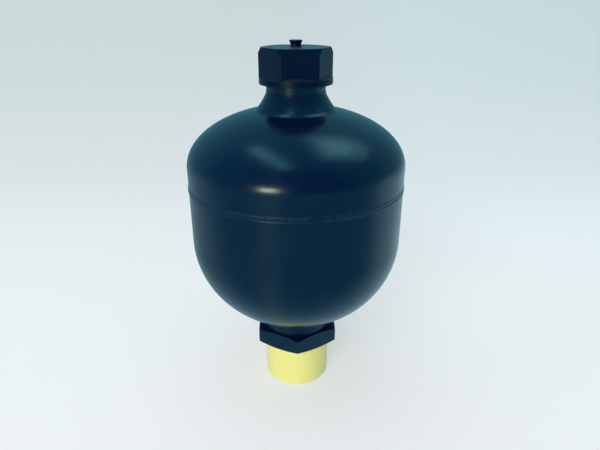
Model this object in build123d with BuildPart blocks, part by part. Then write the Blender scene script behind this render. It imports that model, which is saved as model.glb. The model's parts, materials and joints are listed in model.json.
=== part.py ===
from build123d import *

import os
from math import radians, sqrt, tan

# A bladder accumulator of 0.5 litre nominal size: a steel vessel welded from a deep bowl and a
# shallow dome, with a rubber gas bladder inside. The bladder hangs from a stem in the gas port at
# the top, and a poppet in the fluid port at the bottom closes before the bladder can squeeze out.
# Both ports wear the plastic caps that the accumulator is shipped with, and it stands on the lower
# one. Millimetres, +Z up, origin on the axis at the foot of the lower cap.

# Vessel
body_diameter = 105.0
shell_wall = 4.5
bowl_depth = 47.5
dome_depth = 27.25
cylinder_length = 37.4
seam_height = 28.2  # middle of the girth weld above the bowl's tangent line
weld_face_width = 2.8
weld_root_width = 1.0
weld_crown = 0.12
weld_ridge_radius = 0.35  # the bead that the weld leaves along its lower edge
backing_ring_height = 12.0
backing_ring_wall = 1.5
backing_ring_clearance = 0.05

# Fluid port, with its male and female threads drawn at their crests
stud_diameter = 33.0
stud_length = 23.3
stud_chamfer = 1.2
stud_relief_diameter = 30.6
stud_relief_width = 3.0
port_thread_diameter = 18.6
port_bore_depth = 21.5
port_mouth_chamfer = 1.4
port_hex_across_flats = 41.0
port_hex_height = 9.2
port_hex_chamfer_angle = 20.0
port_hex_turn = 31.7  # angle of one corner from +X
port_neck_diameter = 39.0
port_neck_height = 4.3  # from the hexagon to the level of the bowl's pole
port_foot_diameter = 45.0
port_flare_radius = 4.5
port_foot_step = 0.5
web_thickness = 5.0
flow_hole_count = 6
flow_hole_diameter = 3.4
flow_hole_circle = 14.8
seat_diameter = 23.0
seat_mouth_diameter = 28.6

# Poppet and the pieces on its stem
poppet_head_diameter = 28.0
poppet_face_diameter = 22.0
poppet_rim_height = 1.5
poppet_crown = 1.5
poppet_travel = 5.0
seat_clearance = 0.1
poppet_stem_diameter = 7.0
poppet_thread_diameter = 5.0
poppet_stem_tail = 0.8
bush_wall = 1.2
running_clearance = 0.03
stop_clearance = 0.05
sleeve_diameter = 9.2
sleeve_length = 3.0
poppet_nut_across_flats = 8.0
poppet_nut_height = 4.0
poppet_spring_radius = 5.0
poppet_spring_wire = 1.4
poppet_spring_coils = 6

# Cap on the fluid port's thread
port_cap_floor = 1.5
port_cap_wall = 0.8
port_cap_clearance = 0.04
port_cap_edge_radius = 0.8

# Gas port
gas_foot_diameter = 38.6
gas_foot_height = 1.06  # of the sloped edge between the dome and the flare
gas_flare_diameter = 36.4
gas_flare_height = 7.24
gas_flare_bow = 0.3  # how far the flare's curve hangs inside its chord
neck_diameter = 27.56
neck_length = 2.6
neck_groove_width = 0.5
neck_groove_depth = 0.2
gas_thread_diameter = 27.0
gas_thread_length = 8.6
gas_thread_chamfer = 0.8
nut_pocket_diameter = 21.0
nut_pocket_depth = 6.0

# Bladder and the stem that it hangs from
bladder_wall = 2.0
bladder_clearance = 3.5
bladder_straight_length = 23.2
bladder_pad_thickness = 3.0
bladder_pad_diameter = 36.0
bladder_above_poppet = 2.5
stem_diameter = 12.0
stem_clearance = 0.05
stem_flange_diameter = 30.0
stem_flange_thickness = 3.0
stem_projection = 3.5
stem_passage_diameter = 5.0
stem_chamber_diameter = 6.4
stem_chamber_spare = 4.6  # depth left under the valve pin when it is pressed
stem_seal_section = 2.0
stem_seal_height = 8.0  # middle of the seal above the gas port's inner end
stem_washer_thickness = 1.0
stem_washer_diameter = 19.0
stem_nut_diameter = 20.0
stem_nut_height = 4.5
stem_nut_slot_width = 2.5
stem_nut_slot_depth = 1.5
groove_side_clearance = 0.3

# Gas valve in the stem
valve_body_diameter = 8.0
valve_body_clearance = 0.03
valve_body_length = 11.9
valve_body_inset = 0.6
valve_key_slot_width = 1.2
valve_key_slot_depth = 1.0
valve_throat_diameter = 2.6
valve_throat_length = 3.0
spring_chamber_diameter = 5.2
valve_seal_section = 1.0
valve_seal_height = 1.6  # middle of the seal above the valve body's lower end
pin_diameter = 1.8
pin_inset = 0.2
pin_collar_diameter = 4.6
pin_collar_thickness = 1.0
pin_tip_length = 2.2
pin_disc_diameter = 4.8
pin_disc_thickness = 0.85
pin_seal_thickness = 1.0
pin_tail_length = 0.8
pin_travel = 1.2
pin_seat_clearance = 0.05
valve_spring_radius = 1.85
valve_spring_wire = 0.45
valve_spring_coils = 5

# Metal cap that seals the gas valve
sealing_cap_across_flats = 14.0
sealing_cap_top_thickness = 1.2
sealing_cap_lift = 0.4
sealing_ring_section = 1.3
sealing_ring_diameter = 9.9

# Plastic cap over the gas port
cap_across_flats = 29.8
cap_corner_radius = 1.2
cap_turn = 6.3  # angle of one corner from +X
cap_top_diameter = 31.72  # circle that the grip's corners are turned down to
cap_corner_drop = 2.6
cap_flange_diameter = 34.1
cap_flange_height = 2.7
cap_flange_slope = 0.9
cap_lift = 1.2
cap_thread_clearance = 0.1
cap_thread_length = 9.0
cap_inner_diameter = 24.6
cap_headroom = 0.9
cap_top_thickness = 2.0
knob_base_diameter = 5.2
knob_waist_diameter = 5.0
knob_top_diameter = 5.9
knob_rim_height = 0.5
knob_height = 2.9

# Heights of the vessel, from the floor up
stud_end_z = port_cap_floor
hex_bottom_z = stud_end_z + stud_length
hex_top_z = hex_bottom_z + port_hex_height
bowl_pole_z = hex_top_z + port_neck_height
lower_tangent_z = bowl_pole_z + bowl_depth
upper_tangent_z = lower_tangent_z + cylinder_length
seam_z = lower_tangent_z + seam_height
body_radius = body_diameter / 2
inner_radius = body_radius - shell_wall


def bowl_z(radius, inset=0.0):
    """Height of the bowl at a radius: its outer face, or a face that far inside it."""
    return lower_tangent_z - (bowl_depth - inset) * sqrt(1 - (radius / (body_radius - inset)) ** 2)


def dome_z(radius, inset=0.0):
    """Height of the dome at a radius: its outer face, or a face that far inside it."""
    return upper_tangent_z + (dome_depth - inset) * sqrt(1 - (radius / (body_radius - inset)) ** 2)


def quarter_ellipse(start, corner, end):
    """A quarter of an ellipse, from start to end, whose end tangents meet at the corner."""
    return Bezier(start, corner, end, weights=(1, sqrt(0.5), 1))


def headed_cylinder(radius, tangent_z, depth, end_z):
    """A solid with a half-ellipse head, above its tangent line if depth is positive and below if not."""
    head_z = tangent_z + depth
    with BuildPart() as solid:
        with BuildSketch(Plane.XZ):
            with BuildLine():
                quarter_ellipse((0, head_z), (radius, head_z), (radius, tangent_z))
                Polyline((radius, tangent_z), (radius, end_z), (0, end_z), (0, head_z))
            make_face()
        revolve(axis=Axis.Z)
    return solid.part


def hexagon(across_flats, bottom_z, height, turn=0.0, chamfer_angle=30.0):
    """A hexagonal prism whose corners are turned off, at both ends, to the circle inside its flats."""
    flat = across_flats / 2
    reach = 1.2 * flat
    drop = (reach - flat) * tan(radians(chamfer_angle))
    top_z = bottom_z + height
    with BuildPart() as solid:
        with BuildSketch(Plane.XY.offset(bottom_z)):
            RegularPolygon(flat, 6, major_radius=False, rotation=turn)
        extrude(amount=height)
        with BuildSketch(Plane.XZ):
            with BuildLine():
                Polyline(
                    (0, bottom_z),
                    (flat, bottom_z),
                    (reach, bottom_z + drop),
                    (reach, top_z - drop),
                    (flat, top_z),
                    (0, top_z),
                    close=True,
                )
            make_face()
        revolve(axis=Axis.Z, mode=Mode.INTERSECT)
    return solid.part


def compression_spring(mean_radius, wire, coils, bottom_z, top_z):
    """A coil spring with its ends ground flat at bottom_z and top_z."""
    rise = top_z - bottom_z
    with BuildPart() as solid:
        with BuildLine() as coil:
            Helix(pitch=rise / coils, height=rise, radius=mean_radius, center=(0, 0, bottom_z))
        with BuildSketch(Plane(origin=coil.line @ 0, z_dir=coil.line % 0)):
            Circle(wire / 2)
        sweep(is_frenet=True)
        with BuildSketch(Plane.XY.offset(bottom_z)):
            Circle(mean_radius + wire)
        extrude(amount=rise, mode=Mode.INTERSECT)
    return solid.part


# Girth weld: a V-groove filled from the outside, with a slight crown and a bead on its lower edge
with BuildPart() as girth_weld:
    with BuildSketch(Plane.XZ):
        with BuildLine():
            ThreePointArc(
                (body_radius, seam_z - weld_face_width / 2),
                (body_radius + weld_crown, seam_z),
                (body_radius, seam_z + weld_face_width / 2),
            )
            Polyline(
                (body_radius, seam_z + weld_face_width / 2),
                (inner_radius, seam_z + weld_root_width / 2),
                (inner_radius, seam_z - weld_root_width / 2),
                (body_radius, seam_z - weld_face_width / 2),
            )
        make_face()
        with Locations((body_radius, seam_z - weld_face_width / 2 + weld_ridge_radius)):
            Circle(weld_ridge_radius)
    revolve(axis=Axis.Z)
girth_weld.part.label = "girth_weld"

# Lower shell: a deep bowl with a straight wall up to the girth weld
with BuildPart() as lower_shell:
    add(headed_cylinder(body_radius, lower_tangent_z, -bowl_depth, seam_z))
    add(
        headed_cylinder(inner_radius, lower_tangent_z, shell_wall - bowl_depth, seam_z),
        mode=Mode.SUBTRACT,
    )
    with BuildSketch(Plane.XY.offset(bowl_pole_z)):
        Circle(port_foot_diameter / 2)
    extrude(amount=bowl_depth, mode=Mode.SUBTRACT)
    add(girth_weld.part, mode=Mode.SUBTRACT)
lower_shell.part.label = "lower_shell"

# Upper shell: a shallow dome, with the rest of the straight wall down to the girth weld
with BuildPart() as upper_shell:
    add(headed_cylinder(body_radius, upper_tangent_z, dome_depth, seam_z))
    add(
        headed_cylinder(inner_radius, upper_tangent_z, dome_depth - shell_wall, seam_z),
        mode=Mode.SUBTRACT,
    )
    with BuildSketch(Plane.XY.offset(upper_tangent_z)):
        Circle(gas_foot_diameter / 2)
    extrude(amount=dome_depth, mode=Mode.SUBTRACT)
    add(girth_weld.part, mode=Mode.SUBTRACT)
upper_shell.part.label = "upper_shell"

# Backing ring: lines the seam inside, centres the two shells and keeps the weld off the bladder
backing_ring_outer = inner_radius - backing_ring_clearance
with BuildPart() as backing_ring:
    with BuildSketch(Plane.XY.offset(seam_z - backing_ring_height / 2)):
        Circle(backing_ring_outer)
        Circle(backing_ring_outer - backing_ring_wall, mode=Mode.SUBTRACT)
    extrude(amount=backing_ring_height)
    inner_edges = backing_ring.edges().filter_by(GeomType.CIRCLE).sort_by(SortBy.RADIUS)[:2]
    chamfer(inner_edges, backing_ring_wall / 2)
backing_ring.part.label = "backing_ring"

# Fluid port: one turned piece with a male stud, a hexagon, a neck that flares out to the bowl,
# a poppet seat at its inner end and a drilled web across its bore
port_top_z = bowl_z(port_foot_diameter / 2, shell_wall)
port_foot_z = bowl_z(port_foot_diameter / 2) - port_foot_step
port_flare_z = port_foot_z - port_flare_radius
web_bottom_z = stud_end_z + port_bore_depth
web_top_z = web_bottom_z + web_thickness
seat_bottom_z = port_top_z - (seat_mouth_diameter - seat_diameter) / 2
bush_outer_diameter = poppet_stem_diameter + 2 * (running_clearance + bush_wall)
with BuildPart() as fluid_port:
    add(
        hexagon(
            port_hex_across_flats, hex_bottom_z, port_hex_height, port_hex_turn, port_hex_chamfer_angle
        )
    )
    with BuildSketch(Plane.XZ):
        with BuildLine():
            Polyline(
                (port_neck_diameter / 2, port_flare_z),
                (port_neck_diameter / 2, hex_top_z),
                (stud_relief_diameter / 2, hex_top_z),
                (stud_relief_diameter / 2, hex_bottom_z - stud_relief_width),
                (stud_diameter / 2, hex_bottom_z - stud_relief_width),
                (stud_diameter / 2, stud_end_z + stud_chamfer),
                (stud_diameter / 2 - stud_chamfer, stud_end_z),
                (0, stud_end_z),
                (0, port_top_z),
                (port_foot_diameter / 2, port_top_z),
                (port_foot_diameter / 2, port_foot_z),
            )
            quarter_ellipse(
                (port_foot_diameter / 2, port_foot_z),
                (port_neck_diameter / 2, port_foot_z),
                (port_neck_diameter / 2, port_flare_z),
            )
        make_face()
    revolve(axis=Axis.Z)
    with BuildSketch(Plane.XZ):
        with BuildLine():
            Polyline(
                (0, stud_end_z),
                (port_thread_diameter / 2 + port_mouth_chamfer, stud_end_z),
                (port_thread_diameter / 2, stud_end_z + port_mouth_chamfer),
                (port_thread_diameter / 2, web_bottom_z),
                (0, web_bottom_z),
                close=True,
            )
        make_face()
        with BuildLine():
            Polyline(
                (0, web_top_z),
                (seat_diameter / 2, web_top_z),
                (seat_diameter / 2, seat_bottom_z),
                (seat_mouth_diameter / 2, port_top_z),
                (0, port_top_z),
                close=True,
            )
        make_face()
    revolve(axis=Axis.Z, mode=Mode.SUBTRACT)
    with BuildSketch(Plane.XY.offset(web_bottom_z)):
        Circle(bush_outer_diameter / 2)
        with PolarLocations(flow_hole_circle / 2, flow_hole_count):
            Circle(flow_hole_diameter / 2)
    extrude(amount=web_thickness, mode=Mode.SUBTRACT)
fluid_port.part.label = "fluid_port"

# Bush pressed into the web, where the poppet's stem slides
with BuildPart() as poppet_bush:
    with BuildSketch(Plane.XY.offset(web_bottom_z)):
        Circle(bush_outer_diameter / 2)
        Circle(poppet_stem_diameter / 2 + running_clearance, mode=Mode.SUBTRACT)
    extrude(amount=web_thickness)
poppet_bush.part.label = "poppet_bush"

# Poppet, held open: a crowned head with a 45 degree face, and a stem with a threaded end
poppet_rim_z = (
    port_top_z
    - (seat_mouth_diameter - poppet_head_diameter) / 2
    + seat_clearance
    + poppet_travel
)
poppet_face_z = poppet_rim_z - (poppet_head_diameter - poppet_face_diameter) / 2
poppet_crown_z = poppet_rim_z + poppet_rim_height
poppet_top_z = poppet_crown_z + poppet_crown
sleeve_top_z = web_bottom_z - stop_clearance
poppet_nut_top_z = sleeve_top_z - sleeve_length
poppet_end_z = poppet_nut_top_z - poppet_nut_height - poppet_stem_tail
crown_radius = ((poppet_head_diameter / 2) ** 2 + poppet_crown**2) / (2 * poppet_crown)
with BuildPart() as poppet:
    with BuildSketch(Plane.XZ):
        with BuildLine():
            Polyline(
                (0, poppet_top_z),
                (0, poppet_end_z),
                (poppet_thread_diameter / 2, poppet_end_z),
                (poppet_thread_diameter / 2, sleeve_top_z),
                (poppet_stem_diameter / 2, sleeve_top_z),
                (poppet_stem_diameter / 2, poppet_face_z),
                (poppet_face_diameter / 2, poppet_face_z),
                (poppet_head_diameter / 2, poppet_rim_z),
                (poppet_head_diameter / 2, poppet_crown_z),
            )
            RadiusArc((poppet_head_diameter / 2, poppet_crown_z), (0, poppet_top_z), -crown_radius)
        make_face()
    revolve(axis=Axis.Z)
poppet.part.label = "poppet"

# Damping sleeve on the stem's threaded end, which stops on the bush when the poppet is open
with BuildPart() as damping_sleeve:
    with BuildSketch(Plane.XY.offset(poppet_nut_top_z)):
        Circle(sleeve_diameter / 2)
        Circle(poppet_thread_diameter / 2, mode=Mode.SUBTRACT)
    extrude(amount=sleeve_length)
damping_sleeve.part.label = "damping_sleeve"

# Nut that holds the sleeve on the stem
with BuildPart() as poppet_nut:
    add(
        hexagon(poppet_nut_across_flats, poppet_nut_top_z - poppet_nut_height, poppet_nut_height)
    )
    with Locations((0, 0, poppet_nut_top_z)):
        Hole(poppet_thread_diameter / 2)
poppet_nut.part.label = "poppet_nut"

# Spring that holds the poppet open, between the web's hub and the head
with BuildPart() as poppet_spring:
    add(
        compression_spring(
            poppet_spring_radius, poppet_spring_wire, poppet_spring_coils, web_top_z, poppet_face_z
        )
    )
poppet_spring.part.label = "poppet_spring"

# Cap on the stud: a thin moulded cup with a closed foot
port_cap_inner = stud_diameter / 2 + port_cap_clearance
with BuildPart() as port_cap:
    with BuildSketch(Plane.XY):
        Circle(port_cap_inner + port_cap_wall)
    extrude(amount=hex_bottom_z)
    fillet(port_cap.faces().sort_by(Axis.Z)[0].edges(), port_cap_edge_radius)
    with BuildSketch(Plane.XY.offset(port_cap_floor)):
        Circle(port_cap_inner)
    extrude(amount=hex_bottom_z - port_cap_floor, mode=Mode.SUBTRACT)
port_cap.part.label = "port_cap"

# Gas port: a turned boss with a foot let into the dome, a flare, a plain neck and a thread,
# bored for the bladder's stem and sunk at the top for its nut
gas_bottom_z = dome_z(gas_foot_diameter / 2, shell_wall)
gas_foot_z = dome_z(gas_foot_diameter / 2)
gas_flare_z = gas_foot_z + gas_foot_height
neck_bottom_z = gas_flare_z + gas_flare_height
neck_top_z = neck_bottom_z + neck_length
gas_port_top_z = neck_top_z + gas_thread_length
pocket_floor_z = gas_port_top_z - nut_pocket_depth
stem_hole_radius = stem_diameter / 2 + stem_clearance
stem_seal_z = gas_bottom_z + stem_seal_height
flare_out = (gas_flare_diameter - neck_diameter) / 2
flare_length = sqrt(flare_out**2 + gas_flare_height**2)
flare_middle = (
    (gas_flare_diameter + neck_diameter) / 4 - gas_flare_bow * gas_flare_height / flare_length,
    (gas_flare_z + neck_bottom_z) / 2 - gas_flare_bow * flare_out / flare_length,
)
with BuildPart() as gas_port:
    with BuildSketch(Plane.XZ):
        with BuildLine():
            Polyline(
                (neck_diameter / 2, neck_bottom_z),
                (neck_diameter / 2, neck_top_z),
                (gas_thread_diameter / 2, neck_top_z),
                (gas_thread_diameter / 2, gas_port_top_z - gas_thread_chamfer),
                (gas_thread_diameter / 2 - gas_thread_chamfer, gas_port_top_z),
                (0, gas_port_top_z),
                (0, gas_bottom_z),
                (gas_foot_diameter / 2, gas_bottom_z),
                (gas_foot_diameter / 2, gas_foot_z),
                (gas_flare_diameter / 2, gas_flare_z),
            )
            ThreePointArc(
                (gas_flare_diameter / 2, gas_flare_z),
                flare_middle,
                (neck_diameter / 2, neck_bottom_z),
            )
        make_face()
    revolve(axis=Axis.Z)
    with BuildSketch(Plane.XY.offset(pocket_floor_z)):
        Circle(nut_pocket_diameter / 2)
    extrude(amount=nut_pocket_depth, mode=Mode.SUBTRACT)
    with Locations((0, 0, pocket_floor_z)):
        Hole(stem_hole_radius)
    with BuildSketch(Plane.XY.offset(stem_seal_z - stem_seal_section / 2 - groove_side_clearance)):
        Circle(stem_diameter / 2 + stem_seal_section)
    extrude(amount=stem_seal_section + 2 * groove_side_clearance, mode=Mode.SUBTRACT)
    with BuildSketch(Plane.XZ):
        with Locations((neck_diameter / 2, neck_bottom_z + neck_groove_width)):
            Rectangle(2 * neck_groove_depth, neck_groove_width)
    revolve(axis=Axis.Z, mode=Mode.SUBTRACT)
gas_port.part.label = "gas_port"

# Bladder: a moulded rubber bag, hanging unfilled, with a thick pad where the stem's flange holds it
bladder_radius = inner_radius - bladder_clearance
bladder_dome = dome_depth - shell_wall - bladder_clearance
bladder_end_z = poppet_top_z + bladder_above_poppet
bladder_tangent_z = upper_tangent_z - bladder_straight_length
stem_flange_top_z = gas_bottom_z - bladder_pad_thickness
stem_bottom_z = stem_flange_top_z - stem_flange_thickness


def bag(inset):
    """The bladder's bag as a full solid, the given distance inside its outer face."""
    radius = bladder_radius - inset
    top_z = upper_tangent_z + bladder_dome - inset
    end_z = bladder_end_z + inset
    with BuildPart() as solid:
        with BuildSketch(Plane.XZ):
            with BuildLine():
                quarter_ellipse((0, top_z), (radius, top_z), (radius, upper_tangent_z))
                Line((radius, upper_tangent_z), (radius, bladder_tangent_z))
                quarter_ellipse((radius, bladder_tangent_z), (radius, end_z), (0, end_z))
                Line((0, end_z), (0, top_z))
            make_face()
        revolve(axis=Axis.Z)
    return solid.part


with BuildPart() as bladder:
    add(bag(0.0))
    with BuildSketch(Plane.XY.offset(stem_bottom_z)):
        Circle(bladder_pad_diameter / 2)
    extrude(amount=gas_bottom_z - stem_bottom_z)
    add(bag(bladder_wall), mode=Mode.SUBTRACT)
    with BuildSketch(Plane.XY.offset(stem_bottom_z)):
        Circle(stem_flange_diameter / 2)
    extrude(amount=stem_flange_thickness, mode=Mode.SUBTRACT)
    with BuildSketch(Plane.XY.offset(stem_flange_top_z)):
        Circle(stem_diameter / 2)
    extrude(amount=bladder_pad_thickness, mode=Mode.SUBTRACT)
bladder.part.label = "bladder"

# Bladder stem: a flange moulded into the bladder's pad, and a tube up through the gas port
stem_washer_top_z = pocket_floor_z + stem_washer_thickness
stem_nut_top_z = stem_washer_top_z + stem_nut_height
stem_top_z = stem_nut_top_z + stem_projection
valve_top_z = stem_top_z - valve_body_inset
valve_seat_z = valve_top_z - valve_body_length
pin_seal_top_z = valve_seat_z - pin_seat_clearance
pin_disc_top_z = pin_seal_top_z - pin_seal_thickness
pin_disc_z = pin_disc_top_z - pin_disc_thickness
pin_end_z = pin_disc_z - pin_tail_length
chamber_bottom_z = pin_end_z - pin_travel - stem_chamber_spare
with BuildPart() as bladder_stem:
    with BuildSketch(Plane.XY.offset(stem_bottom_z)):
        Circle(stem_flange_diameter / 2)
    extrude(amount=stem_flange_thickness)
    with BuildSketch(Plane.XY.offset(stem_bottom_z)):
        Circle(stem_diameter / 2)
    extrude(amount=stem_top_z - stem_bottom_z)
    with BuildSketch(Plane.XY.offset(valve_seat_z)):
        Circle(valve_body_diameter / 2)
    extrude(amount=stem_top_z - valve_seat_z, mode=Mode.SUBTRACT)
    with BuildSketch(Plane.XY.offset(chamber_bottom_z)):
        Circle(stem_chamber_diameter / 2)
    extrude(amount=valve_seat_z - chamber_bottom_z, mode=Mode.SUBTRACT)
    with Locations((0, 0, stem_bottom_z)):
        Hole(stem_passage_diameter / 2)
bladder_stem.part.label = "bladder_stem"

# Seal ring between the stem and the gas port's bore
with BuildPart() as stem_seal:
    with Locations((0, 0, stem_seal_z)):
        Torus((stem_diameter + stem_seal_section) / 2, stem_seal_section / 2)
stem_seal.part.label = "stem_seal"

# Washer and slotted round nut that hold the stem, sunk in the gas port's pocket
with BuildPart() as stem_washer:
    with BuildSketch(Plane.XY.offset(pocket_floor_z)):
        Circle(stem_washer_diameter / 2)
        Circle(stem_hole_radius, mode=Mode.SUBTRACT)
    extrude(amount=stem_washer_thickness)
stem_washer.part.label = "stem_washer"

with BuildPart() as stem_nut:
    with BuildSketch(Plane.XY.offset(stem_washer_top_z)):
        Circle(stem_nut_diameter / 2)
        Circle(stem_diameter / 2, mode=Mode.SUBTRACT)
    extrude(amount=stem_nut_height)
    with BuildSketch(Plane.XY.offset(stem_nut_top_z)):
        Rectangle(stem_nut_diameter, stem_nut_slot_width)
        Rectangle(stem_nut_slot_width, stem_nut_diameter)
    extrude(amount=-stem_nut_slot_depth, mode=Mode.SUBTRACT)
stem_nut.part.label = "stem_nut"

# Valve body, screwed into the stem down to the ledge of its chamber
valve_seal_z = valve_seat_z + valve_seal_height
chamber_floor_z = valve_seat_z + valve_throat_length
valve_outer_radius = valve_body_diameter / 2 - valve_body_clearance
with BuildPart() as valve_body:
    with BuildSketch(Plane.XY.offset(valve_seat_z)):
        Circle(valve_outer_radius)
        Circle(valve_throat_diameter / 2, mode=Mode.SUBTRACT)
    extrude(amount=valve_body_length)
    with BuildSketch(Plane.XY.offset(chamber_floor_z)):
        Circle(spring_chamber_diameter / 2)
    extrude(amount=valve_top_z - chamber_floor_z, mode=Mode.SUBTRACT)
    with BuildSketch(Plane.XY.offset(valve_seal_z - valve_seal_section / 2 - groove_side_clearance)):
        Circle(valve_body_diameter / 2)
        Circle(valve_body_diameter / 2 - valve_seal_section, mode=Mode.SUBTRACT)
    extrude(amount=valve_seal_section + 2 * groove_side_clearance, mode=Mode.SUBTRACT)
    with BuildSketch(Plane.XY.offset(valve_top_z)):
        Rectangle(valve_body_diameter, valve_key_slot_width)
    extrude(amount=-valve_key_slot_depth, mode=Mode.SUBTRACT)
valve_body.part.label = "valve_body"

with BuildPart() as valve_body_seal:
    with Locations((0, 0, valve_seal_z)):
        Torus((valve_body_diameter - valve_seal_section) / 2, valve_seal_section / 2)
valve_body_seal.part.label = "valve_body_seal"

# Valve pin, shut: a collar that the spring lifts, and a disc that pulls its seal up to the body
pin_top_z = valve_top_z - pin_inset
pin_collar_top_z = pin_top_z - pin_tip_length
pin_collar_z = pin_collar_top_z - pin_collar_thickness
with BuildPart() as valve_pin:
    with BuildSketch(Plane.XZ):
        with BuildLine():
            Polyline(
                (0, pin_top_z),
                (0, pin_end_z),
                (pin_diameter / 2, pin_end_z),
                (pin_diameter / 2, pin_disc_z),
                (pin_disc_diameter / 2, pin_disc_z),
                (pin_disc_diameter / 2, pin_disc_top_z),
                (pin_diameter / 2, pin_disc_top_z),
                (pin_diameter / 2, pin_collar_z),
                (pin_collar_diameter / 2, pin_collar_z),
                (pin_collar_diameter / 2, pin_collar_top_z),
                (pin_diameter / 2, pin_collar_top_z),
                (pin_diameter / 2, pin_top_z),
                close=True,
            )
        make_face()
    revolve(axis=Axis.Z)
valve_pin.part.label = "valve_pin"

with BuildPart() as valve_pin_seal:
    with BuildSketch(Plane.XY.offset(pin_disc_top_z)):
        Circle(pin_disc_diameter / 2)
        Circle(pin_diameter / 2, mode=Mode.SUBTRACT)
    extrude(amount=pin_seal_thickness)
valve_pin_seal.part.label = "valve_pin_seal"

# Spring under the pin's collar
with BuildPart() as valve_spring:
    add(
        compression_spring(
            valve_spring_radius, valve_spring_wire, valve_spring_coils, chamber_floor_z, pin_collar_z
        )
    )
valve_spring.part.label = "valve_spring"

# Metal cap nut on the stem, and the ring that it presses on the stem's end
sealing_cap_z = stem_nut_top_z + sealing_cap_lift
sealing_ceiling_z = stem_top_z + sealing_ring_section
sealing_cap_top_z = sealing_ceiling_z + sealing_cap_top_thickness
with BuildPart() as sealing_cap:
    add(hexagon(sealing_cap_across_flats, sealing_cap_z, sealing_cap_top_z - sealing_cap_z))
    with BuildSketch(Plane.XY.offset(sealing_cap_z)):
        Circle(stem_hole_radius)
    extrude(amount=sealing_ceiling_z - sealing_cap_z, mode=Mode.SUBTRACT)
sealing_cap.part.label = "sealing_cap"

with BuildPart() as sealing_ring:
    with Locations((0, 0, stem_top_z + sealing_ring_section / 2)):
        Torus(sealing_ring_diameter / 2, sealing_ring_section / 2)
sealing_ring.part.label = "sealing_ring"

# Plastic cap on the gas port's thread: a hexagonal grip on a round flange, with a moulded knob
cap_bottom_z = neck_top_z + cap_lift
grip_bottom_z = cap_bottom_z + cap_flange_height
cap_ceiling_z = sealing_cap_top_z + cap_headroom
cap_top_z = cap_ceiling_z + cap_top_thickness
cap_flange_radius = cap_flange_diameter / 2
cap_thread_radius = gas_thread_diameter / 2 + cap_thread_clearance
with BuildPart() as protective_cap:
    with BuildSketch(Plane.XY.offset(grip_bottom_z)):
        RegularPolygon(cap_across_flats / 2, 6, major_radius=False, rotation=cap_turn)
        fillet(vertices(), cap_corner_radius)
    extrude(amount=cap_top_z - grip_bottom_z)
    with BuildSketch(Plane.XZ):
        with BuildLine():
            Polyline(
                (0, grip_bottom_z),
                (cap_flange_radius, grip_bottom_z),
                (cap_flange_radius, cap_top_z - cap_corner_drop),
                (cap_top_diameter / 2, cap_top_z),
                (0, cap_top_z),
                close=True,
            )
        make_face()
    revolve(axis=Axis.Z, mode=Mode.INTERSECT)
    with BuildSketch(Plane.XZ):
        with BuildLine():
            Polyline(
                (0, cap_bottom_z),
                (cap_flange_radius, cap_bottom_z),
                (cap_flange_radius, grip_bottom_z),
                (cap_across_flats / 2, grip_bottom_z + cap_flange_slope),
                (0, grip_bottom_z + cap_flange_slope),
                close=True,
            )
        make_face()
    revolve(axis=Axis.Z)
    with BuildSketch(Plane.XY.offset(cap_bottom_z)):
        Circle(cap_inner_diameter / 2)
    extrude(amount=cap_ceiling_z - cap_bottom_z, mode=Mode.SUBTRACT)
    with BuildSketch(Plane.XY.offset(cap_bottom_z)):
        Circle(cap_thread_radius)
    extrude(amount=cap_thread_length, mode=Mode.SUBTRACT)
    with BuildSketch(Plane.XZ):
        with BuildLine():
            Polyline(
                (knob_top_diameter / 2, cap_top_z + knob_height - knob_rim_height),
                (knob_top_diameter / 2, cap_top_z + knob_height),
                (0, cap_top_z + knob_height),
                (0, cap_top_z),
                (knob_base_diameter / 2, cap_top_z),
            )
            ThreePointArc(
                (knob_base_diameter / 2, cap_top_z),
                (knob_waist_diameter / 2, cap_top_z + knob_height / 2),
                (knob_top_diameter / 2, cap_top_z + knob_height - knob_rim_height),
            )
        make_face()
    revolve(axis=Axis.Z)
protective_cap.part.label = "protective_cap"

os.makedirs("parts", exist_ok=True)
pieces = [
    lower_shell,
    upper_shell,
    girth_weld,
    backing_ring,
    fluid_port,
    poppet_bush,
    poppet,
    damping_sleeve,
    poppet_nut,
    poppet_spring,
    port_cap,
    gas_port,
    bladder,
    bladder_stem,
    stem_seal,
    stem_washer,
    stem_nut,
    valve_body,
    valve_body_seal,
    valve_pin,
    valve_pin_seal,
    valve_spring,
    sealing_cap,
    sealing_ring,
    protective_cap,
]
for piece in pieces:
    export_step(piece.part, f"parts/{piece.part.label}.step")
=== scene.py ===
import json
import math

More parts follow.
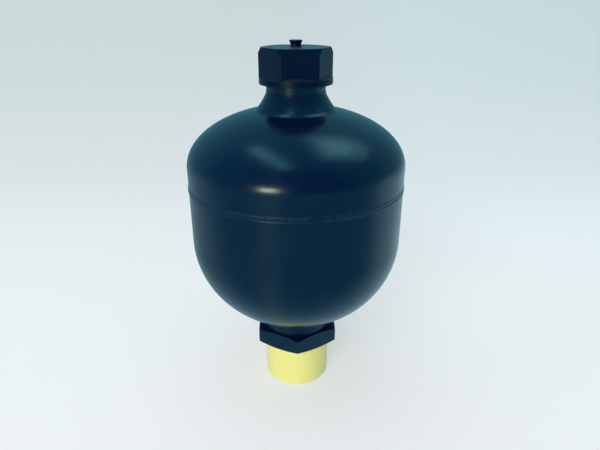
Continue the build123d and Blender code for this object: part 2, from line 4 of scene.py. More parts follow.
import bmesh
import bpy
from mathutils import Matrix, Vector

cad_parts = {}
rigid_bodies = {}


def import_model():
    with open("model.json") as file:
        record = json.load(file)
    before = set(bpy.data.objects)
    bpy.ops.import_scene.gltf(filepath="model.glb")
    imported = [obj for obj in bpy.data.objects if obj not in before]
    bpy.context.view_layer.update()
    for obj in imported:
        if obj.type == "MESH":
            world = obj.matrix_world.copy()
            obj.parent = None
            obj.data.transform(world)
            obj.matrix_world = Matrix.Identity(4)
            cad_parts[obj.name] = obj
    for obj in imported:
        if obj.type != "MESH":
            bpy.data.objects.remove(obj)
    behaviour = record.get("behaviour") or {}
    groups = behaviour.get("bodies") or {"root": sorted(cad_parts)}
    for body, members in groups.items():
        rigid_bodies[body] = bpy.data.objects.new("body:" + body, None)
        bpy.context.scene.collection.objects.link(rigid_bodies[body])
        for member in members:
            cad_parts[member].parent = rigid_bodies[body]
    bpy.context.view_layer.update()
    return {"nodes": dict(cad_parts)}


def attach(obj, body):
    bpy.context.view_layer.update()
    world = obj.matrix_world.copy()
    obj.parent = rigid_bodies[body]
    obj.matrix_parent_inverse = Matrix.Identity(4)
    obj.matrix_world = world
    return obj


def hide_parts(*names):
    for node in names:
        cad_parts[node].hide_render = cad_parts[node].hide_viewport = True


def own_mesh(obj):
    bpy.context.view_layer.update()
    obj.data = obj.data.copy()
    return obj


for leftover in list(bpy.data.objects):
    bpy.data.objects.remove(leftover)

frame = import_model()
nodes = frame["nodes"]
scene = bpy.context.scene
mm = 0.001
print("frame loaded:", len(nodes), "nodes")


def colour(hexValue):
    # sRGB hex to the linear colour that shaders take
    shares = [int(hexValue[i:i + 2], 16) / 255 for i in (1, 3, 5)]
    linear = [c / 12.92 if c <= 0.04045 else ((c + 0.055) / 1.055) ** 2.4 for c in shares]
    return (*linear, 1.0)


def addNode(tree, kind, inputs=None, **settings):
    # inputs are constants or output sockets, by socket name or number, and settings are the node's own;
    # a colour mix takes its share at 0 and its two colours at 6 and 7, and gives its result at 2
    node = tree.nodes.new(kind)
    for name, value in settings.items():
        setattr(node, name, value)
    for name, value in (inputs or {}).items():
        if isinstance(value, bpy.types.NodeSocket):
            tree.links.new(value, node.inputs[name])
        else:
            node.inputs[name].default_value = value
    return node


def startMaterial(name):
    # an empty material, its node tree, and the object's own coordinates to place patterns by
    material = bpy.data.materials.new(name)
    material.use_nodes = True
    tree = material.node_tree
    tree.nodes.clear()
    return material, tree, addNode(tree, "ShaderNodeTexCoord").outputs["Object"]


noiseRange = {"low": 0.25, "high": 0.75}  # nearly all of a noise lies between these


def surfacePatches(tree, place, look):
    # soft patches over the surface, and a roughness that goes up and down with them
    patches = addNode(tree, "ShaderNodeTexNoise", {
        "Vector": place, "Scale": 1 / (look["patchSize"] * mm), "Detail": look["patchDetail"]}).outputs["Fac"]
    smoothest, roughest = look["roughness"]
    roughness = addNode(tree, "ShaderNodeMapRange", {
        "Value": patches, "From Min": noiseRange["low"], "From Max": noiseRange["high"],
        "To Min": smoothest, "To Max": roughest,
    }, interpolation_type="SMOOTHSTEP").outputs[0]
    return patches, roughness


def surfaceGrain(tree, place, size, depth, detail=2.0):
    # an even relief of blobs this many millimetres across and deep
    height = addNode(tree, "ShaderNodeTexNoise", {
        "Vector": place, "Scale": 1 / (size * mm), "Detail": detail})
    return addNode(tree, "ShaderNodeBump", {
        "Height": height.outputs["Fac"], "Strength": 1.0, "Distance": depth * mm})


# Wear on edges, paler paint that is partly a painted highlight along them, starts where the true surface
# turns from its rounded copy by more than a few degrees, given as cosines, and shows only in the raised part
# of a pattern of patches
edgeWearAndHighlight = {"startCosine": 0.995, "fullCosine": 0.9, "patchStart": 0.3, "patchFull": 0.65, "patchDetail": 3.0}


def wornAndHighlightedEdges(tree, place, look):
    # 1 on worn edges, which carry a painted highlight as well as wear, and 0 elsewhere, with sizes in
    # millimetres
    rounded = addNode(tree, "ShaderNodeBevel", {"Radius": look["wearAndHighlightReach"] * mm}, samples=4)
    true = addNode(tree, "ShaderNodeNewGeometry")
    likeness = addNode(tree, "ShaderNodeVectorMath", {0: rounded.outputs[0], 1: true.outputs["Normal"]},
                       operation="DOT_PRODUCT")
    edge = addNode(tree, "ShaderNodeMapRange", {
        "Value": likeness.outputs["Value"], "From Min": edgeWearAndHighlight["startCosine"],
        "From Max": edgeWearAndHighlight["fullCosine"]})
    patches = addNode(tree, "ShaderNodeTexNoise", {
        "Vector": place, "Scale": 1 / (look["wearAndHighlightPatchSize"] * mm), "Detail": edgeWearAndHighlight["patchDetail"]})
    wornAndHighlighted = addNode(tree, "ShaderNodeMapRange", {
        "Value": patches.outputs["Fac"], "From Min": edgeWearAndHighlight["patchStart"],
        "From Max": edgeWearAndHighlight["patchFull"],
    }, interpolation_type="SMOOTHSTEP")
    return addNode(tree, "ShaderNodeMath", {0: edge.outputs[0], 1: wornAndHighlighted.outputs[0]},
                   operation="MULTIPLY").outputs[0]


# Satin black enamel, sprayed on the welded vessel and baked. It flows nearly flat, so the eye gets soft
# broad reflections with a faint orange peel, fine dust, patches that hands have rubbed and edges worn paler,
# partly a painted highlight
blackEnamel = {
    "name": "bakedSatinBlackEnamel", "colour": "#01082c", "rubbed": "#031331", "wornAndHighlighted": "#1c3b4c",
    "ior": 1.5, "cool": (0.4, 0.95, 1.0, 1.0), "roughness": (0.21, 0.27),
    "patchSize": 24.0, "patchDetail": 2.0, "wearAndHighlightReach": 0.3, "wearAndHighlightPatchSize": 3.6,
    "peelSize": 1.8, "peelDepth": 0.0035, "dustSize": 0.3, "dustDepth": 0.0012, "dustDetail": 1.0,
}

# The same enamel over the bead of the girth weld, where it lies thin and is rubbed paler, and paler still as
# a painted highlight along the ridge
weldEnamel = dict(blackEnamel, name="rubbedAndHighlightedWeldEnamel", colour="#061d34", rubbed="#113449", wornAndHighlighted="#22495a",
                  patchSize=3.0, peelSize=0.8, wearAndHighlightPatchSize=1.6)


def makeBlackEnamel(look):
    material, tree, place = startMaterial(look["name"])
    patches, roughness = surfacePatches(tree, place, look)
    peel = surfaceGrain(tree, place, look["peelSize"], look["peelDepth"])
    dust = surfaceGrain(tree, place, look["dustSize"], look["dustDepth"], look["dustDetail"])
    tree.links.new(peel.outputs["Normal"], dust.inputs["Normal"])
    paint = addNode(tree, "ShaderNodeMix", {
        0: patches, 6: colour(look["colour"]), 7: colour(look["rubbed"])}, data_type="RGBA")
    paint = addNode(tree, "ShaderNodeMix", {
        0: wornAndHighlightedEdges(tree, place, look), 6: paint.outputs[2], 7: colour(look["wornAndHighlighted"])}, data_type="RGBA")
    shader = addNode(tree, "ShaderNodeBsdfPrincipled", {
        "Base Color": paint.outputs[2], "Roughness": roughness, "IOR": look["ior"],
        "Specular Tint": look["cool"], "Normal": dust.outputs["Normal"]})
    addNode(tree, "ShaderNodeOutputMaterial", {"Surface": shader.outputs[0]})
    return material


# Black polyethylene of the cap on the gas port, injection moulded in a fine sparked mould: a duller sheen
# than the enamel, because the fine grain swallows part of it, which a low index stands for. Rubbed edges are
# paler, partly a painted highlight, and the top is paler with dust, partly real and partly a painted sheen
blackPolyethylene = {
    "name": "mouldedBlackPolyethylene", "colour": "#010727", "scuffed": "#030f2c", "wornAndHighlighted": "#1b3446",
    "dust": "#8fa9ad", "ior": 1.3, "cool": (0.3, 0.85, 1.0, 1.0), "roughness": (0.3, 0.38),
    "patchSize": 9.0, "patchDetail": 4.0, "wearAndHighlightReach": 0.35, "wearAndHighlightPatchSize": 1.5,
    "grainSize": 0.25, "grainDepth": 0.004,
    "dustAndSheenUpward": 0.9, "dustAndSheenCover": 0.24, "dustAndSheenPatches": (0.35, 0.65), "dustAndSheenLeast": 0.4,
}


def makeBlackPolyethylene(look):
    material, tree, place = startMaterial(look["name"])
    patches, roughness = surfacePatches(tree, place, look)
    grain = surfaceGrain(tree, place, look["grainSize"], look["grainDepth"])
    plastic = addNode(tree, "ShaderNodeMix", {
        0: patches, 6: colour(look["colour"]), 7: colour(look["scuffed"])}, data_type="RGBA")
    plastic = addNode(tree, "ShaderNodeMix", {
        0: wornAndHighlightedEdges(tree, place, look), 6: plastic.outputs[2], 7: colour(look["wornAndHighlighted"])}, data_type="RGBA")
    # pale dust on the faces that look up, and with it a painted sheen that lightens the top of the cap
    normal = addNode(tree, "ShaderNodeNewGeometry").outputs["Normal"]
    facing = addNode(tree, "ShaderNodeSeparateXYZ", {"Vector": normal})
    upwardDustAndSheen = addNode(tree, "ShaderNodeMapRange", {
        "Value": facing.outputs["Z"], "From Min": look["dustAndSheenUpward"], "To Max": look["dustAndSheenCover"]})
    thinnest, thickest = look["dustAndSheenPatches"]
    settledDustAndSheen = addNode(tree, "ShaderNodeMapRange", {
        "Value": patches, "From Min": thinnest, "From Max": thickest, "To Min": look["dustAndSheenLeast"],
    }, interpolation_type="SMOOTHSTEP")
    dust = addNode(tree, "ShaderNodeMath", {0: upwardDustAndSheen.outputs[0], 1: settledDustAndSheen.outputs[0]},
                   operation="MULTIPLY")
    plastic = addNode(tree, "ShaderNodeMix", {
        0: dust.outputs[0], 6: plastic.outputs[2], 7: colour(look["dust"])}, data_type="RGBA")
    shader = addNode(tree, "ShaderNodeBsdfPrincipled", {
        "Base Color": plastic.outputs[2], "Roughness": roughness, "IOR": look["ior"],
        "Specular Tint": look["cool"], "Normal": grain.outputs["Normal"]})
    addNode(tree, "ShaderNodeOutputMaterial", {"Surface": shader.outputs[0]})
    return material


# Yellow low-density polyethylene of the thread cap, moulded thin: waxy and a little translucent, so light
# softens inside it, with faint vertical streaks where it was drawn off the mould
yellowPolyethylene = {
    "name": "mouldedYellowPolyethylene", "colour": "#fdf69b", "streaked": "#f6ef8c", "ior": 1.5,
    "roughness": (0.36, 0.46), "patchSize": 7.0, "patchDetail": 3.0,
    "glow": 0.35, "glowDepth": 1.2, "glowReach": (1.0, 0.9, 0.4),
    "streakSize": 1.4, "streakDetail": 2.0, "streakStretch": (1.0, 1.0, 0.06),
    "grainSize": 0.4, "grainDepth": 0.003,
}


def makeYellowPolyethylene(look):
    material, tree, place = startMaterial(look["name"])
    roughness = surfacePatches(tree, place, look)[1]
    grain = surfaceGrain(tree, place, look["grainSize"], look["grainDepth"])
    stretch = addNode(tree, "ShaderNodeMapping", {"Vector": place, "Scale": look["streakStretch"]})
    streaks = addNode(tree, "ShaderNodeTexNoise", {
        "Vector": stretch.outputs[0], "Scale": 1 / (look["streakSize"] * mm), "Detail": look["streakDetail"]})
    plastic = addNode(tree, "ShaderNodeMix", {
        0: streaks.outputs["Fac"], 6: colour(look["colour"]), 7: colour(look["streaked"])}, data_type="RGBA")
    shader = addNode(tree, "ShaderNodeBsdfPrincipled", {
        "Base Color": plastic.outputs[2], "Roughness": roughness, "IOR": look["ior"],
        "Subsurface Weight": look["glow"], "Subsurface Scale": look["glowDepth"] * mm,
        "Subsurface Radius": look["glowReach"], "Normal": grain.outputs["Normal"]})
    addNode(tree, "ShaderNodeOutputMaterial", {"Surface": shader.outputs[0]})
    return material


# Metals inside the vessel. Turning leaves fine rings square to the axis, drawn coarser here than the real
# 0.1 mm feed so that they show; wire is drawn smooth; the bush is pressed powder, pitted and dull
metals = {
    "steel": {
        "name": "turnedSteel", "colour": "#b4b7ba", "stained": "#a2a5a8", "roughness": (0.24, 0.36),
        "ringSize": 0.4, "ringDepth": 0.003, "patchSize": 6.0, "patchDetail": 4.0},
    "spring_steel": {
        "name": "drawnSpringWire", "colour": "#84868a", "stained": "#6f7175", "roughness": (0.26, 0.36),
        "ringSize": 0.5, "ringDepth": 0.0005, "patchSize": 3.0, "patchDetail": 4.0},
    "bronze": {
        "name": "pressedBronzePowder", "colour": "#b3834b", "stained": "#8f6638", "roughness": (0.4, 0.55),
        "ringSize": 0.3, "ringDepth": 0.002, "patchSize": 0.6, "patchDetail": 4.0},
    "brass": {
        "name": "turnedBrass", "colour": "#d2b268", "stained": "#bd9c55", "roughness": (0.22, 0.34),
        "ringSize": 0.3, "ringDepth": 0.002, "patchSize": 3.0, "patchDetail": 4.0},
}
turning = {"bandWidth": 0.314, "wander": 0.4}  # width of a Wave node's band at scale 1, and its unevenness


def makeMetal(look):
    material, tree, place = startMaterial(look["name"])
    patches, roughness = surfacePatches(tree, place, look)
    rings = addNode(tree, "ShaderNodeTexWave", {
        "Vector": place, "Scale": turning["bandWidth"] / (look["ringSize"] * mm),
        "Distortion": turning["wander"],
    }, wave_type="BANDS", bands_direction="Z")
    grooves = addNode(tree, "ShaderNodeBump", {
        "Height": rings.outputs["Fac"], "Strength": 1.0, "Distance": look["ringDepth"] * mm})
    metal = addNode(tree, "ShaderNodeMix", {
        0: patches, 6: colour(look["colour"]), 7: colour(look["stained"])}, data_type="RGBA")
    shader = addNode(tree, "ShaderNodeBsdfPrincipled", {
        "Base Color": metal.outputs[2], "Metallic": 1.0, "Roughness": roughness,
        "Normal": grooves.outputs["Normal"]})
    addNode(tree, "ShaderNodeOutputMaterial", {"Surface": shader.outputs[0]})
    return material


# Nitrile rubber of the bladder and the seal rings, pressed in a mould and dusted with talc: nearly black,
# matt, with paler cloudy patches
nitrileRubber = {
    "name": "mouldedNitrileRubber", "colour": "#1c1d1f", "talc": "#37383a", "ior": 1.5,
    "roughness": (0.55, 0.75), "patchSize": 14.0, "patchDetail": 6.0, "grainSize": 0.6, "grainDepth": 0.012,
}


def makeRubber(look):
    material, tree, place = startMaterial(look["name"])
    clouds, roughness = surfacePatches(tree, place, look)
    grain = surfaceGrain(tree, place, look["grainSize"], look["grainDepth"])
    rubber = addNode(tree, "ShaderNodeMix", {
        0: clouds, 6: colour(look["colour"]), 7: colour(look["talc"])}, data_type="RGBA")
    shader = addNode(tree, "ShaderNodeBsdfPrincipled", {
        "Base Color": rubber.outputs[2], "Roughness": roughness, "IOR": look["ior"],
        "Normal": grain.outputs["Normal"]})
    addNode(tree, "ShaderNodeOutputMaterial", {"Surface": shader.outputs[0]})
    return material


finishes = {
    "black_paint": makeBlackEnamel(blackEnamel),
    "black_plastic": makeBlackPolyethylene(blackPolyethylene),
    "yellow_plastic": makeYellowPolyethylene(yellowPolyethylene),
    "rubber": makeRubber(nitrileRubber),
}
finishes.update({slotName: makeMetal(look) for slotName, look in metals.items()})
for node in nodes.values():
    for finishSlot in node.material_slots:
        finishSlot.material = finishes[finishSlot.material.name.split(".")[0]]
print("finishes made:", len(finishes))


def copyNode(nodeName, pieceName):
    # a piece with the form and finish of a CAD node, to stand for it
    node = nodes[nodeName]
    mesh = node.data.copy()
    mesh.name = pieceName
    mesh.transform(node.matrix_world)
    piece = bpy.data.objects.new(pieceName, mesh)
    scene.collection.objects.link(piece)
    return piece


def keepResult(piece):
    # the piece's modifiers made real
    shape = bpy.data.meshes.new_from_object(piece.evaluated_get(bpy.context.evaluated_depsgraph_get()))
    piece.modifiers.clear()
    piece.data = shape
    shape.name = piece.name
    print(piece.name, "polygons:", len(shape.polygons))


# The two plastic caps, with their sharp edges rounded as moulding leaves them; widths in millimetres
moulded = {
    "gasCapRounded": {"node": "protective_cap", "slot": "black_plastic", "width": 0.35},
    "threadCapRounded": {"node": "port_cap", "slot": "yellow_plastic", "width": 0.4},
}
rounding = {"segments": 3, "sharpFrom": 25.0, "flatWithin": 0.2, "mergeDistance": 0.001}


def addMoulded(pieceName, look):
    piece = copyNode(look["node"], pieceName)
    if "custom_normal" in piece.data.attributes:
        piece.data.attributes.remove(piece.data.attributes["custom_normal"])
    work = bmesh.new()
    work.from_mesh(piece.data)
    bmesh.ops.remove_doubles(work, verts=work.verts, dist=rounding["mergeDistance"] * mm)
    bmesh.ops.dissolve_limit(work, angle_limit=math.radians(rounding["flatWithin"]), verts=work.verts,
                             edges=work.edges)
    work.to_mesh(piece.data)
    work.free()
    piece.data.shade_smooth()
    piece.data.set_sharp_from_angle(angle=math.radians(rounding["sharpFrom"]))
    edges = piece.modifiers.new("roundEdges", "BEVEL")
    edges.width = look["width"] * mm
    edges.segments = rounding["segments"]
    edges.limit_method = "ANGLE"
    edges.angle_limit = math.radians(rounding["sharpFrom"])
    edges.harden_normals = True
    keepResult(piece)
    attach(piece, "vessel")
    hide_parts(look["node"])


for pieceName, look in moulded.items():
    addMoulded(pieceName, look)

# Springs, which shorten towards their fixed end as their joint moves, copied as they stand: nothing here
# moves them, and their listed joint, fixed end, length and travel are not used; lengths in millimetres
springs = {
    "poppetSpringWire": {
        "node": "poppet_spring", "joint": "poppet_close", "fixedEnd": 28.0, "length": 21.62, "travel": 5.0},
    "valveSpringWire": {
        "node": "valve_spring", "joint": "valve_pin_press", "fixedEnd": 161.54, "length": 5.5, "travel": 1.2},
}
for pieceName, look in springs.items():
    wire = copyNode(look["node"], pieceName)
    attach(wire, "vessel")
    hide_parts(look["node"])
    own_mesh(wire)
print("caps and springs made")

# Girth weld, drawn as it is laid: overlapping ripples round the vessel, and a bead along their lower edge
# that wanders a little and is paler, partly rubbed and partly a painted highlight. Sizes in millimetres
girthWeld = {
    "radius": 52.5, "rippleHeight": 114.2, "ripples": 300, "rippleSize": (0.95, 0.22, 1.2),
    "rippleSpread": 0.25, "seed": 3, "beadHeight": 113.05, "beadRadius": 0.32, "beadWander": 0.09,
    "wanderSize": 4.0, "noiseMiddle": 0.5, "lineSteps": 720, "rippleSegments": 14, "rippleRings": 8,
    "beadSegments": 12,
}


def startTree(name, sockets):
    # a Geometry Nodes group with these named inputs, its input sockets, and their identifiers by name
    tree = bpy.data.node_groups.new(name, "GeometryNodeTree")
    tree.interface.new_socket("Geometry", in_out="OUTPUT", socket_type="NodeSocketGeometry")
    names = {}
    for label, kind in sockets.items():
        socket = tree.interface.new_socket(label, in_out="INPUT", socket_type="NodeSocket" + kind)
        names[label] = socket.identifier
    return tree, addNode(tree, "NodeGroupInput").outputs, names


def endTree(tree, shape, given):
    real = addNode(tree, "GeometryNodeRealizeInstances", {"Geometry": shape.outputs[0]})
    smooth = addNode(tree, "GeometryNodeSetShadeSmooth", {"Geometry": real.outputs[0]})
    finish = addNode(tree, "GeometryNodeSetMaterial", {
        "Geometry": smooth.outputs[0], "Material": given["Material"]})
    addNode(tree, "NodeGroupOutput", {"Geometry": finish.outputs[0]})


def addGrown(pieceName, tree, names, values):
    # runs the group with these values and keeps its result as a plain mesh
    piece = bpy.data.objects.new(pieceName, bpy.data.meshes.new(pieceName))
    scene.collection.objects.link(piece)
    growth = piece.modifiers.new("growth", "NODES")
    growth.node_group = tree
    for label, value in values.items():
        growth[names[label]] = value
    keepResult(piece)
    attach(piece, "vessel")


def makeRippleTree(look):
    # flat domes side by side on a circle, each turned to face outwards and some of them a little smaller
    tree, given, names = startTree("weldRipples", {
        "Radius": "Float", "Height": "Float", "Count": "Int", "Ripple Size": "Vector", "Spread": "Float",
        "Seed": "Int", "Material": "Material"})
    line = addNode(tree, "GeometryNodeCurvePrimitiveCircle", {
        "Resolution": look["lineSteps"], "Radius": given["Radius"]}, mode="RADIUS")
    rise = addNode(tree, "ShaderNodeCombineXYZ", {"Z": given["Height"]})
    line = addNode(tree, "GeometryNodeSetPosition", {"Geometry": line.outputs[0], "Offset": rise.outputs[0]})
    points = addNode(tree, "GeometryNodeCurveToPoints", {
        "Curve": line.outputs[0], "Count": given["Count"]}, mode="COUNT")
    ripple = addNode(tree, "GeometryNodeMeshUVSphere", {
        "Segments": look["rippleSegments"], "Rings": look["rippleRings"], "Radius": 1.0})
    ripple = addNode(tree, "GeometryNodeTransform", {
        "Geometry": ripple.outputs[0], "Scale": given["Ripple Size"]})
    smallest = addNode(tree, "ShaderNodeMath", {0: 1.0, 1: given["Spread"]}, operation="SUBTRACT")
    scale = addNode(tree, "FunctionNodeRandomValue", {
        2: smallest.outputs[0], 3: 1.0, "Seed": given["Seed"]}, data_type="FLOAT")
    position = addNode(tree, "GeometryNodeInputPosition")
    outward = addNode(tree, "ShaderNodeVectorMath", {0: position.outputs[0], 1: (1.0, 1.0, 0.0)},
                      operation="MULTIPLY")
    turned = addNode(tree, "FunctionNodeAlignRotationToVector", {"Vector": outward.outputs[0]}, axis="Y")
    turned = addNode(tree, "FunctionNodeAlignRotationToVector", {
        "Rotation": turned.outputs[0], "Vector": (0.0, 0.0, 1.0)}, axis="Z", pivot_axis="Y")
    endTree(tree, addNode(tree, "GeometryNodeInstanceOnPoints", {
        "Points": points.outputs["Points"], "Instance": ripple.outputs[0], "Rotation": turned.outputs[0],
        "Scale": scale.outputs[1]}), given)
    return tree, names


def makeBeadTree(look):
    # a round bead swept along a circle that rises and falls a little with a noise
    tree, given, names = startTree("weldBead", {
        "Radius": "Float", "Height": "Float", "Bead Radius": "Float", "Wander": "Float",
        "Wander Scale": "Float", "Material": "Material"})
    line = addNode(tree, "GeometryNodeCurvePrimitiveCircle", {
        "Resolution": look["lineSteps"], "Radius": given["Radius"]}, mode="RADIUS")
    wave = addNode(tree, "ShaderNodeTexNoise", {"Scale": given["Wander Scale"]})
    wave = addNode(tree, "ShaderNodeMath", {0: wave.outputs["Fac"], 1: look["noiseMiddle"]},
                   operation="SUBTRACT")
    height = addNode(tree, "ShaderNodeMath", {0: wave.outputs[0], 1: given["Wander"], 2: given["Height"]},
                     operation="MULTIPLY_ADD")
    rise = addNode(tree, "ShaderNodeCombineXYZ", {"Z": height.outputs[0]})
    line = addNode(tree, "GeometryNodeSetPosition", {"Geometry": line.outputs[0], "Offset": rise.outputs[0]})
    section = addNode(tree, "GeometryNodeCurvePrimitiveCircle", {
        "Resolution": look["beadSegments"], "Radius": given["Bead Radius"]}, mode="RADIUS")
    endTree(tree, addNode(tree, "GeometryNodeCurveToMesh", {
        "Curve": line.outputs[0], "Profile Curve": section.outputs[0]}), given)
    return tree, names


addGrown("girthWeldRipples", *makeRippleTree(girthWeld), {
    "Radius": girthWeld["radius"] * mm, "Height": girthWeld["rippleHeight"] * mm,
    "Count": girthWeld["ripples"], "Ripple Size": [part * mm for part in girthWeld["rippleSize"]],
    "Spread": girthWeld["rippleSpread"], "Seed": girthWeld["seed"], "Material": finishes["black_paint"]})
# the bead's paler enamel is partly a painted highlight along the ridge
addGrown("girthWeldBead", *makeBeadTree(girthWeld), {
    "Radius": girthWeld["radius"] * mm, "Height": girthWeld["beadHeight"] * mm,
    "Bead Radius": girthWeld["beadRadius"] * mm, "Wander": girthWeld["beadWander"] * mm,
    "Wander Scale": 1 / (girthWeld["wanderSize"] * mm), "Material": makeBlackEnamel(weldEnamel)})

# Two turned rings where the gas port's neck meets its flare, in millimetres: the height and radius of each
# ring's middle, and its thickness as a radius
neckRings = {
    "gasNeckRingUpper": {"radius": 13.72, "height": 157.1, "thickness": 0.26},
    "gasNeckRingLower": {"radius": 13.86, "height": 156.15, "thickness": 0.24},
}
ringSteps = {"around": 240, "across": 16}


def addRing(name, look):
    around, across = ringSteps["around"], ringSteps["across"]
    points = []
    faces = []
    for i in range(around):
        turn = 2 * math.pi * i / around
        for j in range(across):
            roll = 2 * math.pi * j / across
            reach = (look["radius"] + look["thickness"] * math.cos(roll)) * mm
            rise = (look["height"] + look["thickness"] * math.sin(roll)) * mm
            points.append((reach * math.cos(turn), reach * math.sin(turn), rise))
            nextI, nextJ = (i + 1) % around, (j + 1) % across
            faces.append((i * across + j, nextI * across + j, nextI * across + nextJ, i * across + nextJ))
    mesh = bpy.data.meshes.new(name)
    mesh.from_pydata(points, [], faces)
    mesh.shade_smooth()
    mesh.materials.append(finishes["black_paint"])
    ring = bpy.data.objects.new(name, mesh)
    scene.collection.objects.link(ring)
    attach(ring, "vessel")


for name, look in neckRings.items():
    addRing(name, look)
print("pieces made")

# Floor and backdrop: one sheet of pale paper that curves up behind the object, in metres and degrees. The
# eye sees part of it as lit by itself, with painted shade that darkens it towards the back, and a little
# cooler towards the back right. In the gloss, as a painted reflection, it is darker and bluer: pale only
# round the object, paler on the right than on the left, with a painted warm sheen towards the window
paper = {
    "front": -2.4, "bendStart": 0.35, "bendRadius": 0.5, "height": 2.4, "halfWidth": 8.0, "bendSteps": 32,
    "near": "#f6f9fa", "far": "#cbd8da", "toneFront": -0.1, "toneBack": 0.95, "ownLight": 0.45,
    "cooler": (1.02, 1.06, 1.08, 1.0), "coolerReach": 0.2,
    "mirrored": "#5ea2b2", "mirroredLeft": "#8eb7c3", "mirroredRight": "#bfe5f0", "sideWidth": 0.12,
    "paleStarts": -0.1, "paleIsFull": 0.01, "paleFades": 0.25, "paleEnds": 0.75,
    "sheen": "#a6c8ba", "sheenDirection": -25.0, "sheenWidth": 18.0,
}


def makePaperFinish(look):
    material, tree, place = startMaterial("mattPaper")
    parts = addNode(tree, "ShaderNodeSeparateXYZ", {"Vector": place}).outputs

    # what the eye sees, with painted shade that darkens it towards the back
    depth = addNode(tree, "ShaderNodeMapRange", {
        "Value": parts["Y"], "From Min": look["toneFront"], "From Max": look["toneBack"],
    }, interpolation_type="SMOOTHSTEP")
    tone = addNode(tree, "ShaderNodeMix", {
        0: depth.outputs[0], 6: colour(look["near"]), 7: colour(look["far"])}, data_type="RGBA")
    right, behind = (addNode(tree, "ShaderNodeMapRange", {
        "Value": parts[axis], "From Min": 0.0, "From Max": look["coolerReach"]}) for axis in "XY")
    corner = addNode(tree, "ShaderNodeMath", {0: right.outputs[0], 1: behind.outputs[0]},
                     operation="MULTIPLY")
    tone = addNode(tree, "ShaderNodeMix", {
        0: corner.outputs[0], 6: tone.outputs[2], 7: look["cooler"]}, data_type="RGBA", blend_type="MULTIPLY")

    # what the gloss sees
    rise = addNode(tree, "ShaderNodeMapRange", {
        "Value": parts["Y"], "From Min": look["paleStarts"], "From Max": look["paleIsFull"],
    }, interpolation_type="SMOOTHSTEP")
    fall = addNode(tree, "ShaderNodeMapRange", {
        "Value": parts["Y"], "From Min": look["paleEnds"], "From Max": look["paleFades"],
    }, interpolation_type="SMOOTHSTEP")
    close = addNode(tree, "ShaderNodeMath", {0: rise.outputs[0], 1: fall.outputs[0]}, operation="MULTIPLY")
    side = addNode(tree, "ShaderNodeMapRange", {
        "Value": parts["X"], "From Min": -look["sideWidth"], "From Max": look["sideWidth"]})
    pale = addNode(tree, "ShaderNodeMix", {
        0: side.outputs[0], 6: colour(look["mirroredLeft"]), 7: colour(look["mirroredRight"]),
    }, data_type="RGBA")
    plain = addNode(tree, "ShaderNodeMix", {
        0: close.outputs[0], 6: colour(look["mirrored"]), 7: pale.outputs[2]}, data_type="RGBA")
    forward = addNode(tree, "ShaderNodeMath", {0: parts["Y"], 1: -1.0}, operation="MULTIPLY")
    turn = addNode(tree, "ShaderNodeMath", {0: parts["X"], 1: forward.outputs[0]}, operation="ARCTAN2")
    away = addNode(tree, "ShaderNodeMath", {
        0: turn.outputs[0], 1: math.radians(look["sheenDirection"])}, operation="SUBTRACT")
    away = addNode(tree, "ShaderNodeMath", {0: away.outputs[0]}, operation="ABSOLUTE")
    sheen = addNode(tree, "ShaderNodeMapRange", {
        "Value": away.outputs[0], "From Min": math.radians(look["sheenWidth"]), "From Max": 0.0,
    }, interpolation_type="SMOOTHSTEP")
    mirrored = addNode(tree, "ShaderNodeMix", {
        0: sheen.outputs[0], 6: plain.outputs[2], 7: colour(look["sheen"])}, data_type="RGBA")

    # the eye gets part of the tone as the paper's own light, and the gloss gets nothing but its own colours
    path = addNode(tree, "ShaderNodeLightPath").outputs
    straight = addNode(tree, "ShaderNodeMath", {0: path["Is Camera Ray"], 1: path["Is Transmission Ray"]},
                       operation="MAXIMUM")
    part = addNode(tree, "ShaderNodeMath", {0: straight.outputs[0], 1: look["ownLight"]},
                   operation="MULTIPLY")
    part = addNode(tree, "ShaderNodeMath", {0: part.outputs[0], 1: path["Is Glossy Ray"]},
                   operation="MAXIMUM")
    shown = addNode(tree, "ShaderNodeMix", {
        0: path["Is Glossy Ray"], 6: tone.outputs[2], 7: mirrored.outputs[2]}, data_type="RGBA")
    lit = addNode(tree, "ShaderNodeBsdfDiffuse", {"Color": tone.outputs[2]})
    own = addNode(tree, "ShaderNodeEmission", {"Color": shown.outputs[2], "Strength": 1.0})
    both = addNode(tree, "ShaderNodeMixShader", {0: part.outputs[0], 1: lit.outputs[0], 2: own.outputs[0]})
    addNode(tree, "ShaderNodeOutputMaterial", {"Surface": both.outputs[0]})
    return material


def addPaper(look):
    outline = [(look["front"], 0.0)]
    for i in range(look["bendSteps"] + 1):
        angle = math.pi / 2 * i / look["bendSteps"]
        outline.append((look["bendStart"] + look["bendRadius"] * math.sin(angle),
                        look["bendRadius"] * (1 - math.cos(angle))))
    outline.append((outline[-1][0], look["height"]))
    points = [(x, y, z) for y, z in outline for x in (-look["halfWidth"], look["halfWidth"])]
    faces = [(2 * i, 2 * i + 1, 2 * i + 3, 2 * i + 2) for i in range(len(outline) - 1)]
    mesh = bpy.data.meshes.new("paperSheet")
    mesh.from_pydata(points, [], faces)
    mesh.shade_smooth()
    mesh.materials.append(makePaperFinish(look))
    sheet = bpy.data.objects.new("paperSheet", mesh)
    scene.collection.objects.link(sheet)


addPaper(paper)

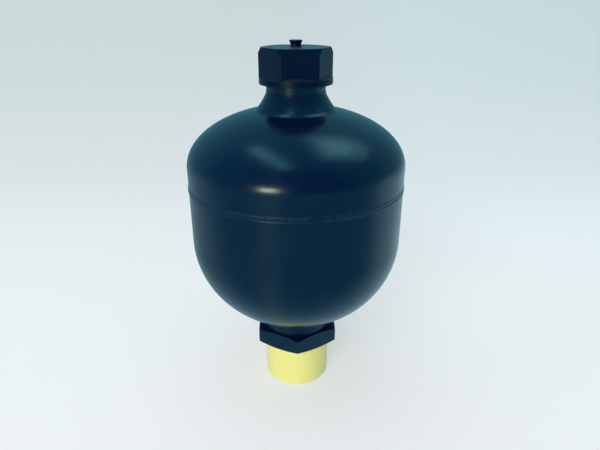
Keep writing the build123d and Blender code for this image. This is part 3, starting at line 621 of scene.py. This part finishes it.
# Lamps: place, aim and size in metres, turn in degrees, strength as the lamp's own brightness. Those that
# light the gloss are seen only in it; the fills are large and soft and light only the paper and the plastic
lamps = {
    "ceilingLeft": {
        "place": (-0.35, -0.13, 1.25), "aim": (-0.35, -0.13, 0.0), "size": (0.2, 1.0), "turn": 21,
        "strength": 2.4, "colour": "#d8f8ff", "lights": "gloss"},
    "ceilingRight": {
        "place": (0.52, 0.28, 1.25), "aim": (0.52, 0.28, 0.0), "size": (0.45, 0.45), "turn": 20,
        "strength": 1.35, "colour": "#d8f8ff", "lights": "gloss"},
    "ceilingRightWide": {
        "place": (0.75, 0.40, 1.35), "aim": (0.75, 0.40, 0.0), "size": (1.1, 0.9), "turn": 20,
        "strength": 0.95, "colour": "#d8f8ff", "lights": "gloss"},
    "window": {
        "place": (-0.62, -1.25, 0.26), "aim": (0.0, 0.0, 0.1), "size": (0.38, 0.22), "turn": 0,
        "strength": 39.0, "colour": "#ffb69b", "lights": "gloss"},
    "fillTop": {
        "place": (-0.3, -0.2, 2.0), "aim": (0.0, 0.0, 0.0), "size": (2.0, 2.0), "turn": 0,
        "strength": 1.05, "colour": "#f2f8ff", "lights": "paper"},
    "fillFront": {
        "place": (-0.6, -1.6, 0.9), "aim": (0.0, 0.0, 0.1), "size": (1.2, 1.2), "turn": 0,
        "strength": 4.75, "colour": "#fffaf4", "lights": "paper"},
}


def addLamp(name, look):
    data = bpy.data.lights.new(name, "AREA")
    data.shape = "RECTANGLE"
    data.size, data.size_y = look["size"]
    data.color = colour(look["colour"])[:3]
    data.energy = look["strength"] * math.pi * look["size"][0] * look["size"][1]
    lamp = bpy.data.objects.new(name, data)
    lamp.location = look["place"]
    lamp.rotation_euler = (Vector(look["place"]) - Vector(look["aim"])).to_track_quat("Z", "Y").to_euler()
    lamp.rotation_euler.rotate_axis("Z", math.radians(look["turn"]))
    lamp.visible_glossy = look["lights"] == "gloss"
    lamp.visible_diffuse = look["lights"] == "paper"
    scene.collection.objects.link(lamp)


for name, look in lamps.items():
    addLamp(name, look)

# The room beyond: pale to the eye and for the surfaces it lights, darker and bluer in the gloss, darkest
# behind the camera
room = {
    "seen": "#dfe8ea", "lighting": "#e4eef2", "strength": 0.45, "mirroredFront": "#1c5f76",
    "mirroredBack": "#36969f", "frontEnd": -0.9, "backEnd": 0.0,
}


def makeRoom(look):
    world = bpy.data.worlds.new("room")
    world.use_nodes = True
    tree = world.node_tree
    tree.nodes.clear()
    place = addNode(tree, "ShaderNodeTexCoord").outputs["Generated"]
    depth = addNode(tree, "ShaderNodeSeparateXYZ", {"Vector": place}).outputs["Y"]
    share = addNode(tree, "ShaderNodeMapRange", {
        "Value": depth, "From Min": look["frontEnd"], "From Max": look["backEnd"],
    }, interpolation_type="SMOOTHSTEP")
    tone = addNode(tree, "ShaderNodeMix", {
        0: share.outputs[0], 6: colour(look["mirroredFront"]), 7: colour(look["mirroredBack"]),
    }, data_type="RGBA")
    mirrored = addNode(tree, "ShaderNodeBackground", {"Color": tone.outputs[2]})
    walls = addNode(tree, "ShaderNodeBackground", {
        "Color": colour(look["lighting"]), "Strength": look["strength"]})
    seen = addNode(tree, "ShaderNodeBackground", {"Color": colour(look["seen"])})
    path = addNode(tree, "ShaderNodeLightPath").outputs
    both = addNode(tree, "ShaderNodeMixShader", {
        0: path["Is Glossy Ray"], 1: walls.outputs[0], 2: mirrored.outputs[0]})
    both = addNode(tree, "ShaderNodeMixShader", {
        0: path["Is Camera Ray"], 1: both.outputs[0], 2: seen.outputs[0]})
    addNode(tree, "ShaderNodeOutputWorld", {"Surface": both.outputs[0]})
    scene.world = world


makeRoom(room)

# Camera: at arm's length and a little above, looking down; place, lens and sensor in millimetres
view = {"place": (1.87, -236.4, 192.7), "tilt": 66.39, "lens": 29.93, "sensor": 36.0, "nearest": 10.0}
cameraData = bpy.data.cameras.new("camera")
cameraData.lens = view["lens"]
cameraData.sensor_width = view["sensor"]
cameraData.clip_start = view["nearest"] * mm
camera = bpy.data.objects.new("camera", cameraData)
camera.location = Vector(view["place"]) * mm
camera.rotation_euler = (math.radians(view["tilt"]), 0.0, 0.0)
scene.collection.objects.link(camera)
scene.camera = camera
scene.view_settings.view_transform = "Standard"
print("stage, lamps and camera set")
